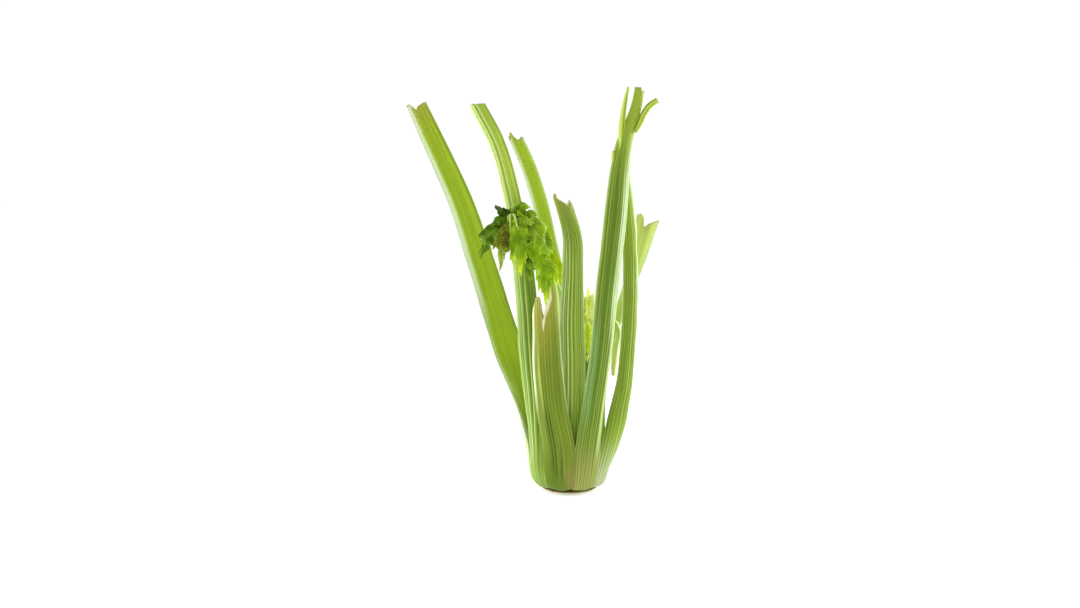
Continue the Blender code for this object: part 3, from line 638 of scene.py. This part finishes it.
# ---- the butt ----
def make_butt(material):
    """Cut disc and core, turned about Z with an uneven rim and a rough face."""
    profile = [(0.01, CORE_HEIGHT), (0.3 * CORE_RADIUS, 0.99 * CORE_HEIGHT),
               (0.55 * CORE_RADIUS, 0.95 * CORE_HEIGHT), (0.9 * CORE_RADIUS, 0.72 * CORE_HEIGHT),
               (CORE_RADIUS, 0.35 * CORE_HEIGHT), (CORE_RADIUS, DISC_HEIGHT + 0.2),
               (CORE_RADIUS + 4, DISC_HEIGHT), (DISC_TOP_RADIUS - 1.5, DISC_HEIGHT),
               (DISC_TOP_RADIUS - 0.3, DISC_HEIGHT - 0.1), (DISC_TOP_RADIUS, DISC_HEIGHT - 0.5),
               (CUT_RADIUS + 1.2, 0.9), (CUT_RADIUS + 0.2, 0.3), (CUT_RADIUS - 0.6, 0.0),
               (0.8 * CUT_RADIUS, 0.0), (0.6 * CUT_RADIUS, 0.0), (0.4 * CUT_RADIUS, 0.0),
               (0.2 * CUT_RADIUS, 0.0), (0.01, 0.0)]
    columns = BUTT_COLUMNS
    angle = np.linspace(0, 2 * math.pi, columns, endpoint=False)
    uneven = BUTT_WOBBLE * ripple(5, np.cos(angle) * 2.4, np.sin(angle) * 2.4)
    points = []
    for radius, height in profile:
        rim = radius * (1 + uneven * ease(radius / 20))
        points.append(np.stack([rim * np.cos(angle), rim * np.sin(angle),
                                np.full(columns, height)], axis=1))
    points = np.array(points)
    count = len(profile)
    faces = tube_faces(count, columns)[:, [0, 3, 2, 1]].tolist()
    faces.append(list(range(columns)))
    faces.append(list(range((count - 1) * columns, count * columns))[::-1])
    reach = np.hypot(points[..., 0], points[..., 1])
    fields = {"reach": reach, "turn": np.tile(angle, (count, 1))}
    new_piece("crown_butt", points.reshape(-1, 3), faces, material, ("crown",), fields)


# ---- materials ----
def shade(code):
    """Display colour, as #rrggbb, as the linear colour of a shader socket."""
    channels = []
    for start in (1, 3, 5):
        value = int(code[start:start + 2], 16) / 255
        channels.append(value / 12.92 if value <= 0.04045 else ((value + 0.055) / 1.055) ** 2.4)
    return (*channels, 1.0)


class Nodes:
    """Short calls for building a material's node tree. Colours may be given as #rrggbb."""

    def __init__(self, name):
        self.material = bpy.data.materials.new(name)
        self.material.use_nodes = True
        self.tree = self.material.node_tree
        self.shader = self.tree.nodes["Principled BSDF"]

    def plug(self, node, values):
        """Links or sets a node's inputs, given by name or number."""
        for key, value in values.items():
            if isinstance(value, bpy.types.NodeSocket):
                self.tree.links.new(value, node.inputs[key])
            else:
                node.inputs[key].default_value = shade(value) if isinstance(value, str) else value

    def add(self, kind, output, inputs=None, **settings):
        """New node with its settings and inputs; returns one of its outputs."""
        node = self.tree.nodes.new("ShaderNode" + kind)
        for setting, value in settings.items():
            setattr(node, setting, value)
        self.plug(node, inputs or {})
        return node.outputs[output]

    def field(self, name):
        return self.add("Attribute", "Fac", attribute_name=name)

    def math(self, operation, first, second=0.0, clamp=False):
        return self.add("Math", 0, {0: first, 1: second}, operation=operation, use_clamp=clamp)

    def times(self, product, *others):
        for other in others:
            product = self.math("MULTIPLY", product, other)
        return product

    def fit(self, value, low, high, start=0.0, end=1.0):
        """Carries low to high over to start to end, with a soft beginning and end."""
        return self.add("MapRange", "Result", {"Value": value, "From Min": low, "From Max": high,
                                               "To Min": start, "To Max": end},
                        interpolation_type="SMOOTHSTEP")

    def mix(self, factor, first, second):
        return self.add("Mix", 2, {0: factor, 6: first, 7: second}, data_type="RGBA")

    def tint(self, colour, tint, value, low, high, share=1.0):
        """Takes the colour towards the tint, up to a share, as the value goes from low to high."""
        return self.mix(self.fit(value, low, high, 0.0, share), colour, tint)

    def ramp(self, factor, stops):
        node = self.tree.nodes.new("ShaderNodeValToRGB")
        self.plug(node, {0: factor})
        elements = node.color_ramp.elements
        while len(elements) < len(stops):
            elements.new(0.5)
        for element, (place, colour) in zip(elements, stops):
            element.position = place
            element.color = shade(colour)
        return node.outputs["Color"]

    def place(self):
        return self.add("TexCoord", "Object")

    def noise(self, vector, scale, detail=2.0, roughness=0.5):
        return self.add("TexNoise", "Fac", {"Vector": vector, "Scale": scale, "Detail": detail,
                                            "Roughness": roughness})

    def streaks(self, across, along, fine, long, seed=0.0, detail=3.0):
        """Noise stretched lengthwise: its pace across and along."""
        stretched = self.add("CombineXYZ", 0, {0: self.times(across, fine),
                                               1: self.times(along, long), 2: seed})
        return self.noise(stretched, 1.0, detail)

    def bump(self, height, distance, strength, base=None):
        inputs = {"Strength": strength, "Distance": distance, "Height": height}
        if base is not None:
            inputs["Normal"] = base
        return self.add("Bump", "Normal", inputs)

    def finish(self, colour, roughness, normal, subsurface, scale, radius=(0.7, 1.0, 0.25),
               specular=0.3):
        self.plug(self.shader, {"Base Color": colour, "Roughness": roughness, "Normal": normal,
                                "Subsurface Weight": subsurface, "Subsurface Radius": radius,
                                "Subsurface Scale": scale, "IOR": 1.4,
                                "Specular IOR Level": specular})
        return self.material


# Looks are colours as #rrggbb, shares from 0 to 1 and lengths in mm. Bands are lengthwise zones of
# a stalk that are painted paler or darker to stand in for light and shade: the pale ones are
# painted highlights and sheen, mostly along the rims, and the dark ones are painted shade. Each
# band gives the middle and half width across, the strength, the stretch of travel and the colour.
# The pale default margin colour is a painted rim highlight. "strings" says which ridges are pale,
# and how much. "cut" is the torn edge of a split: its depth, its stretch across and its colour.
# band colours: a painted highlight, a painted sheen, a painted bluish sheen and painted shade
PAINTED_HIGHLIGHT = "#e0ecd6"
PAINTED_SHEEN = "#b2ca94"
PAINTED_BLUE_SHEEN = "#78a25c"
PAINTED_SHADE = "#4e6c12"
RUST = "#987e48"
# painted shade for the deep clefts
PAINTED_CLEFT_SHADE = "#3a540e"
BAND_FADE = 45.0
STALK_LOOK = dict(
    groove="#547214", body="#6c8a20", ridge="#86a234", string="#b0c868", inner="#92ac16",
    inner_pale="#a6c02c", margin="#c4d696", base="#809638", base_height=60.0, base_full=8.0,
    base_share=0.75, stain=0.0, stain_from=-1.0, top="#96923c", top_reach=24.0, top_share=0.35,
    torn="#cece96", brown="#767236", strings=(0.5, 0.95, 0.5), painted_bands=[], cut=None)
LOOKS = {
    "stalk_far_left": dict(
        top="#ac9c46", top_share=0.45, top_reach=44.0, margin="#708a1e", base="#bece82",
        painted_bands=[(1.0, 0.54, 0.98, 150, 500, PAINTED_HIGHLIGHT), (1.0, 0.2, 0.9, -50, 195, "#cedeb0")]),
    "stalk_front_left": dict(
        top="#b0ca46", top_reach=240.0, top_share=0.6, string="#c8d882", base="#809e38",
        strings=(0.1, 0.5, 0.95), margin="#648430",
        painted_bands=[(-0.45, 0.5, 0.25, 60, 215, "#648c42"), (0.1, 1.4, 0.35, 225, 355, "#cee254"),
               (-1.0, 0.62, 0.85, 235, 500, "#cce0ba"), (-0.42, 0.1, 0.7, 230, 500, PAINTED_SHADE),
               (-0.26, 0.1, 0.8, 230, 500, "#d8e8b0"), (-0.02, 0.1, 0.6, 230, 500, PAINTED_SHADE),
               (0.14, 0.09, 0.7, 230, 500, "#d6e6a0"), (0.95, 0.2, 0.5, 230, 500, PAINTED_SHADE),
               (0.3, 1.1, 0.4, 110, 275, "#5c7c14"), (-0.2, 0.1, 0.65, 20, 250, "#bed282"),
               (0.2, 0.09, 0.6, 20, 230, "#bace6e"), (0.0, 0.1, 0.6, 20, 230, PAINTED_SHADE),
               (0.6, 0.35, 0.45, -50, 240, PAINTED_SHADE)]),
    "stalk_front_broken": dict(
        body="#6a7e12", groove="#5a6e0d", ridge="#788c20", string="#8e9c3a", top="#a29c38",
        top_share=0.65, top_reach=76.0, base="#547016", stain=0.45, stain_from=0.3,
        cut=(13.0, -0.12, 0.62, "#d8d6b0"),
        painted_bands=[(-1.0, 0.3, 0.85, 75, 500, "#e8eec4"), (-0.42, 0.09, 0.7, 60, 165, "#cedc78"),
               (0.5, 0.3, 0.3, 60, 150, PAINTED_SHADE), (-0.25, 0.36, 0.45, -20, 120, PAINTED_SHADE)]),
    "stalk_front_right": dict(
        body="#627c1c", groove="#4c6812", ridge="#7a942e", top="#9cb238", top_reach=120.0,
        top_share=0.8, base="#a0a458", stain=0.4, strings=(0.6, 1.0, 0.5),
        painted_bands=[(0.46, 0.3, 0.85, 140, 330, PAINTED_SHEEN), (0.95, 0.35, 0.6, 120, 330, PAINTED_SHEEN),
               (0.7, 0.22, 0.8, 20, 185, "#bac882"), (-0.66, 0.34, 0.7, 50, 190, PAINTED_BLUE_SHEEN),
               (-0.28, 0.16, 0.8, 60, 340, PAINTED_SHADE), (0.0, 0.1, 0.5, 150, 340, PAINTED_SHADE)]),
    "stalk_right": dict(
        body="#738c22", groove="#647f18", ridge="#85a030", base="#aaaa94", strings=(0.6, 1.0, 0.4),
        painted_bands=[(0.0, 1.4, 0.5, 205, 500, "#92ac2e"), (1.0, 0.62, 0.85, 165, 500, "#c4d8ac")]),
    "stalk_back_right": dict(
        body="#a0be3c", inner="#c0d45a", inner_pale="#d6e288", base_height=225.0, base_full=170.0,
        base_share=0.85, base="#6a9016"),
    "stalk_middle_front": dict(
        top="#969840", top_share=0.6, top_reach=40.0, stain=0.5, body="#7c922a", string="#c8d88c",
        strings=(0.25, 0.8, 0.75),
        painted_bands=[(-0.8, 0.46, 0.45, 60, 262, "#a0c074"), (-0.65, 0.06, 0.6, 60, 258, "#cede9c"),
               (-0.34, 0.06, 0.75, 60, 262, "#d0de92"), (-0.08, 0.06, 0.75, 60, 258, "#c8d678"),
               (0.22, 0.05, 0.5, 60, 240, "#c4d278"), (0.9, 0.25, 0.35, 60, 240, PAINTED_SHADE)]),
    "stalk_middle_back": dict(
        inner="#9cba1a", inner_pale="#aec836", painted_bands=[(1.0, 0.42, 0.95, 60, 500, PAINTED_HIGHLIGHT)]),
    "heart_stalk_right": dict(body="#4e740c", groove="#3e6008", ridge="#688e18", top="#688e18"),
    "heart_stalk_drooping": dict(
        body="#709816", groove="#5c820c", ridge="#88b61e", top="#dce49c", top_reach=96.0,
        top_share=1.0, torn="#ced682"),
}


SHOOT_LOOK = dict(
    body="#96b030", groove="#749218", ridge="#b6c854", top="#b0c054", top_reach=20.0, painted_bands=[],
    stain=0.0)
STEMLET_LOOK = dict(
    body="#96b242", groove="#769622", ridge="#bace74", top="#789c1e", top_reach=12.0, top_share=0.7,
    margin="#a0bc54")
STEM_LOOK = dict(body="#bace74", groove="#9cb850", ridge="#d0de96")


def stalk_material(name, seed, look):
    """Green flesh with paler ridges, a smooth bright inner channel and torn tops; the pale margins
    are a painted rim highlight, and the bands are painted highlights and painted shade.
    """
    nodes = Nodes(name)
    across, travel = nodes.field("across"), nodes.field("travel")
    rib, depth, tone = nodes.field("rib"), nodes.field("depth"), nodes.field("tone")
    below, torn = nodes.field("below_top"), nodes.field("torn")
    streak = nodes.streaks(across, travel, 3.2, 0.006, seed)
    fibre = nodes.streaks(across, travel, 15.0, 0.012, seed, 2.0)
    cloud = nodes.noise(nodes.place(), 45.0, 3.0)
    wavering = nodes.times(nodes.math("SUBTRACT", fibre, 0.5), 1.1)
    stripe = nodes.math("ADD", rib, wavering, clamp=True)

    # the ribbed outer face and the smooth channel
    outer = nodes.ramp(stripe, [(0.0, look["groove"]), (0.4, look["body"]), (0.9, look["ridge"])])
    rare, common, share = look["strings"]
    strings = nodes.times(nodes.fit(stripe, 0.55, 0.95), nodes.fit(tone, rare, common), share)
    outer = nodes.mix(strings, outer, look["string"])
    outer = nodes.tint(outer, look["body"], streak, 0.45, 0.7, 0.6)
    outer = nodes.tint(outer, look["ridge"], streak, 0.52, 0.3, 0.35)
    inner = nodes.tint(look["inner"], look["inner_pale"], streak, 0.3, 0.7)
    inner = nodes.tint(inner, look["inner_pale"], fibre, 0.35, 0.75, 0.35)
    colour = nodes.mix(nodes.fit(depth, 0.35, 0.65), outer, inner)
    colour = nodes.tint(colour, look["ridge"], cloud, 0.35, 0.7, 0.15)

    # the paler foot, the margins (a painted rim highlight where their colour is pale), the tanned
    #     top, and the bands of painted highlight and painted shade
    low = nodes.fit(travel, look["base_height"], look["base_full"], 0.0, look["base_share"])
    colour = nodes.mix(nodes.times(low, nodes.fit(stripe, 0.0, 0.7, 0.35, 1.0)), colour,
                       look["base"])
    # the margins take the margin colour; where it is pale, as by default, it is a painted rim
    # highlight
    edge = nodes.times(nodes.fit(nodes.math("ABSOLUTE", across), 0.86, 1.0, 0.0, 0.7),
                       nodes.fit(travel, 60.0, 130.0, 0.1, 1.0))
    colour = nodes.mix(edge, colour, look["margin"])
    colour = nodes.tint(colour, look["top"], nodes.math("ADD", below, nodes.times(streak, 16.0)),
                        look["top_reach"], 4.0, look["top_share"])
    # each band paints light or shade along the stalk: pale bands are painted highlights and sheen,
    # dark bands are painted shade
    for middle, half, strength, first, last, tint in look["painted_bands"]:
        away = nodes.math("ABSOLUTE", nodes.math("SUBTRACT", across, middle))
        painted_band = nodes.times(nodes.fit(away, half, 0.4 * half, 0.0, strength),
                           nodes.fit(stripe, 0.1, 0.8, 0.6, 1.0),
                           nodes.fit(travel, first, first + BAND_FADE),
                           nodes.fit(travel, last, last - BAND_FADE))
        colour = nodes.mix(painted_band, colour, tint)

    # rust at the foot, painted shade in the clefts, the torn edge of a split and the browned ends
    if look["stain"]:
        rust = nodes.streaks(across, travel, 7.0, 0.03, seed + 5)
        first = look["stain_from"]
        stained = nodes.times(nodes.fit(rust, 0.4, 0.65), nodes.fit(travel, 75, 20),
                              nodes.fit(across, first - 0.3, first + 0.1), look["stain"])
        colour = nodes.mix(stained, colour, RUST)
    # painted shade darkens the deep clefts
    colour = nodes.mix(nodes.times(nodes.field("cleft"), 0.8), colour, PAINTED_CLEFT_SHADE)
    if look["cut"]:
        deep, first, last, tint = look["cut"]
        split = nodes.times(nodes.fit(below, deep, 0.6 * deep),
                            nodes.fit(across, first - 0.05, first + 0.05),
                            nodes.fit(across, last + 0.05, last - 0.05, 0.0, 0.9))
        colour = nodes.mix(split, colour, tint)
    heel = nodes.math("ADD", travel, nodes.times(cloud, 5.0))
    colour = nodes.tint(colour, look["brown"], heel, 6.0, 2.0, 0.7)
    flesh = nodes.tint(look["torn"], look["top"], cloud, 0.3, 0.7)
    colour = nodes.tint(colour, flesh, torn, 0.3, 0.9)
    fringe = nodes.times(nodes.fit(below, 1.4, 0.0), nodes.fit(streak, 0.42, 0.6), 0.7)
    colour = nodes.mix(fringe, colour, look["brown"])
    colour = nodes.tint(colour, look["brown"], nodes.noise(nodes.place(), 420.0, 1.0),
                        0.75, 0.79, 0.5)

    grain = nodes.noise(nodes.place(), 260.0, 2.0)
    normal = nodes.bump(grain, 0.0001, 0.3, nodes.bump(fibre, 0.00035, 0.5))
    return nodes.finish(colour, nodes.fit(fibre, 0.2, 0.8, 0.28, 0.5), normal, 0.05, 0.0015,
                        specular=0.24)


LEAF_LOOK = dict(
    dark="#3e6000", mid="#628c02", light="#98b80e", vein="#aac23c", vein_share=0.5, tip="#a0c208",
    tip_share=0.2, tip_from=0.35)
LEAF_LOOKS = {
    "leaflet_top_pointed": dict(
        dark="#183202", mid="#365404", tip_share=0.0, light="#607c14", vein="#728c2c"),
    "leaflet_top_domed": dict(
        dark="#426c02", mid="#7aa60a", light="#b8ce2c", tip="#466e06", tip_share=0.5),
    "leaflet_left_dark": dict(
        dark="#285000", mid="#4c7800", tip_share=0.6, light="#789c0a", tip="#4a6c1e"),
    "leaflet_left_frilled": dict(
        dark="#424402", mid="#607002", light="#8e9618", tip="#8c9e0a", tip_share=0.6),
    "leaflet_centre": dict(
        dark="#547c00", mid="#749c00", light="#a0bc04", tip="#c8d40e", tip_share=0.9,
        tip_from=0.45),
    "leaflet_right_serrated": dict(
        dark="#5c8600", mid="#80a402", light="#acc428", tip="#8cae0e", vein="#bed06a",
        vein_share=0.6),
    "leaflet_lower_right": dict(
        dark="#628a00", mid="#84ac02", light="#acc81a", tip="#ccda1e", tip_share=0.7, tip_from=0.7),
    "leaflet_stalk_right": dict(dark="#96b002", mid="#b6c808", light="#ced828", tip="#d2dc2c"),
    "leaflet_back_dark": dict(dark="#284a00", mid="#427000", light="#70960a"),
    "leaflet_hanging_strip": dict(
        dark="#8ca032", mid="#b8c660", light="#d8e0a0", tip="#465c10", tip_share=0.5),
    "heart_leaflet_right": dict(dark="#e2ea68", mid="#f6f8a4", light="#fcfcd6", tip="#eef28e"),
    "heart_leaflet_left": dict(dark="#cad822", mid="#e8ee64", light="#f2f4a0"),
}


def leaf_material(name, kin):
    """Thin soft blade: mottled green, pale veins, lighter margins and a yellower tip."""
    look = {**LEAF_LOOK, **LEAF_LOOKS.get(kin, {})}
    nodes = Nodes(name)
    share, vein, along = nodes.field("share"), nodes.field("vein"), nodes.field("blade_y")
    cloud = nodes.noise(nodes.place(), 110.0, 4.0)
    fine = nodes.noise(nodes.place(), 700.0, 3.0)
    colour = nodes.tint(look["dark"], look["mid"], cloud, 0.36, 0.64)
    colour = nodes.tint(colour, look["light"], fine, 0.4, 0.75, 0.35)
    yellow = nodes.times(nodes.fit(along, look["tip_from"], 0.95), look["tip_share"])
    colour = nodes.mix(yellow, colour, look["tip"])
    colour = nodes.tint(colour, look["light"], share, 0.86, 1.0, 0.35)
    colour = nodes.mix(nodes.times(vein, look["vein_share"]), colour, look["vein"])
    normal = nodes.bump(nodes.math("SUBTRACT", fine, vein), 0.00012, 0.6)
    return nodes.finish(colour, nodes.fit(fine, 0.2, 0.8, 0.42, 0.65), normal, 0.25, 0.001,
                        (0.6, 1.0, 0.05), 0.16)


def butt_material():
    """Tan cut face with browned rings and rays, darker at the rim."""
    nodes = Nodes("cut_butt")
    reach, turn = nodes.field("reach"), nodes.field("turn")
    cloud = nodes.noise(nodes.place(), 160.0, 4.0, 0.6)
    rays = nodes.streaks(turn, reach, 9.0, 0.12)
    colour = nodes.tint("#c4b27a", "#967646", cloud, 0.35, 0.65)
    colour = nodes.tint(colour, "#785832", rays, 0.45, 0.7, 0.6)
    colour = nodes.tint(colour, "#a89e60", reach, 21.0, 25.0, 0.8)
    return nodes.finish(colour, 0.7, nodes.bump(cloud, 0.0006, 0.8), 0.1, 0.002)


# ---- stage, light and camera ----
FULL_WHITE = (1.0, 1.0, 1.0, 1.0)
FLOOR_SIZE = 24.0
FLOOR_GLOW = 0.36  # keeps the floor as pale as the surroundings
HORIZON_LIGHT = 1.02  # strength of the surroundings near the horizon, all the way round
SKY_LIGHT = 0.67  # and higher up
HORIZON_BAND = (0.2, 0.42)  # heights, as sines, over which the one fades into the other
RIM_PLACE = (1.2, 0.45, 0.45)  # a soft lamp behind each side, aimed at the middle of the head
RIM_TARGET = (0.0, 0.0, 0.17)
RIM_SIZE = (0.8, 1.3)
RIM_POWER = 30.0
CAMERA_PLACE = (-0.02773, -1.1437, 0.29614)
CAMERA_TILT = 6.0  # degrees below level
CAMERA_LENS = 40.73


def make_floor():
    mesh = bpy.data.meshes.new("floor")
    half = FLOOR_SIZE / 2
    corners = [(-half, -half, 0), (half, -half, 0), (half, half, 0), (-half, half, 0)]
    mesh.from_pydata(corners, [], [(0, 1, 2, 3)])
    nodes = Nodes("floor_paint")
    colour = nodes.mix(nodes.noise(nodes.place(), 3.0, 4.0), (0.93, 0.93, 0.925, 1),
                       (0.96, 0.96, 0.96, 1))
    nodes.plug(nodes.shader, {"Base Color": colour, "Roughness": 0.9, "Emission Color": FULL_WHITE,
                              "Emission Strength": FLOOR_GLOW, "Specular IOR Level": 0.1})
    mesh.materials.append(nodes.material)
    floor = bpy.data.objects.new("studio_floor", mesh)
    bpy.context.scene.collection.objects.link(floor)


def make_light(name, place, target, size, power):
    data = bpy.data.lights.new(name, "AREA")
    data.shape = "RECTANGLE"
    data.size, data.size_y = size
    data.energy = power
    lamp = bpy.data.objects.new(name, data)
    bpy.context.scene.collection.objects.link(lamp)
    lamp.location = place
    aim = Vector(target) - Vector(place)
    lamp.rotation_euler = aim.to_track_quat("-Z", "Y").to_euler()
    lamp.visible_camera = False


def make_studio():
    scene = bpy.context.scene
    scene.view_settings.view_transform = "Standard"
    world = bpy.data.worlds.new("studio")
    world.use_nodes = True
    tree = world.node_tree
    sky = tree.nodes["Background"]
    sky.inputs["Color"].default_value = FULL_WHITE
    toward = tree.nodes.new("ShaderNodeSeparateXYZ")
    tree.links.new(tree.nodes.new("ShaderNodeTexCoord").outputs["Generated"], toward.inputs[0])
    fall = tree.nodes.new("ShaderNodeMapRange")
    fall.interpolation_type = "SMOOTHSTEP"
    tree.links.new(toward.outputs["Z"], fall.inputs["Value"])
    for side, values in (("From", HORIZON_BAND), ("To", (HORIZON_LIGHT, SKY_LIGHT))):
        for end, value in zip(("Min", "Max"), values):
            fall.inputs[f"{side} {end}"].default_value = value
    tree.links.new(fall.outputs["Result"], sky.inputs["Strength"])
    scene.world = world
    for name, side in (("rim_left", -1), ("rim_right", 1)):
        make_light(name, (side * RIM_PLACE[0], *RIM_PLACE[1:]), RIM_TARGET, RIM_SIZE, RIM_POWER)
    camera = bpy.data.objects.new("camera", bpy.data.cameras.new("camera"))
    scene.collection.objects.link(camera)
    camera.location = CAMERA_PLACE
    camera.rotation_euler = (math.radians(90 - CAMERA_TILT), 0.0, 0.0)
    camera.data.lens = CAMERA_LENS
    camera.data.sensor_width = 36.0
    camera.data.clip_start = 0.01
    scene.camera = camera


# ---- build ----
def slot_of(node):
    for part in frame["record"]["subparts"]:
        if part["node"] == node:
            return part["material_slot"]
    return None


def build():
    """Every visible piece: stalks with their shoots, heart stems, leaflets and the butt."""
    for number, (name, plan) in enumerate(STALKS.items()):
        look = {**STALK_LOOK, **LOOKS.get(name, {})}
        material = stalk_material(name, 10.0 * number, look)
        make_stalk(name, {**STALK_PLAN, **plan}, 100 * number + 7, material)
        shoot_material = stalk_material(name + "_shoot", 10.0 * number + 3, {**look, **SHOOT_LOOK})
        for count, route in enumerate(SIDE_SHOOTS.get(name, []), start=1):
            make_stem(f"{name}_shoot_{count}", route, shoot_material, slot_of(name),
                      lead=SIDE_LEAD)
    for number, (name, route) in enumerate(HEART_STALKS.items()):
        look = {**STALK_LOOK, **STEM_LOOK, **LOOKS.get(name, {})}
        stem_material = stalk_material(name, 200.0 + 10 * number, look)
        make_stem(name + "_ribbed", route, stem_material, slot_of(name), (name,))
    stemlet_material = stalk_material("leaflet_stem", 260.0, {**STALK_LOOK, **STEMLET_LOOK})
    for number, (name, plan) in enumerate(LEAFLETS.items()):
        material = leaf_material(name, name)
        make_leaflet(name, plan, 1000 + 10 * number, material)
        start, foot = STEMLETS[name][0], plan[0]
        middle = (np.array(start, float) + foot) / 2 + (0, -1.0, 1.0)
        bends = STEMLETS[name][1:] or [middle]
        thick, middling, thin = STEMLET_THICKNESS
        route = [(*start, thick), *((*bend, middling) for bend in bends), (*foot, thin)]
        make_stem(name + "_stem", route, stemlet_material, "heart_stem", lead=SIDE_LEAD, step=0.8,
                  columns=16)
    for number, (name, plan) in enumerate(SMALL_BLADES.items()):
        kin = plan[-1]
        material = leaf_material(name, kin)
        make_leaflet(name, plan[:-1], 1500 + 10 * number, material)
    make_butt(butt_material())


build()
make_floor()
make_studio()
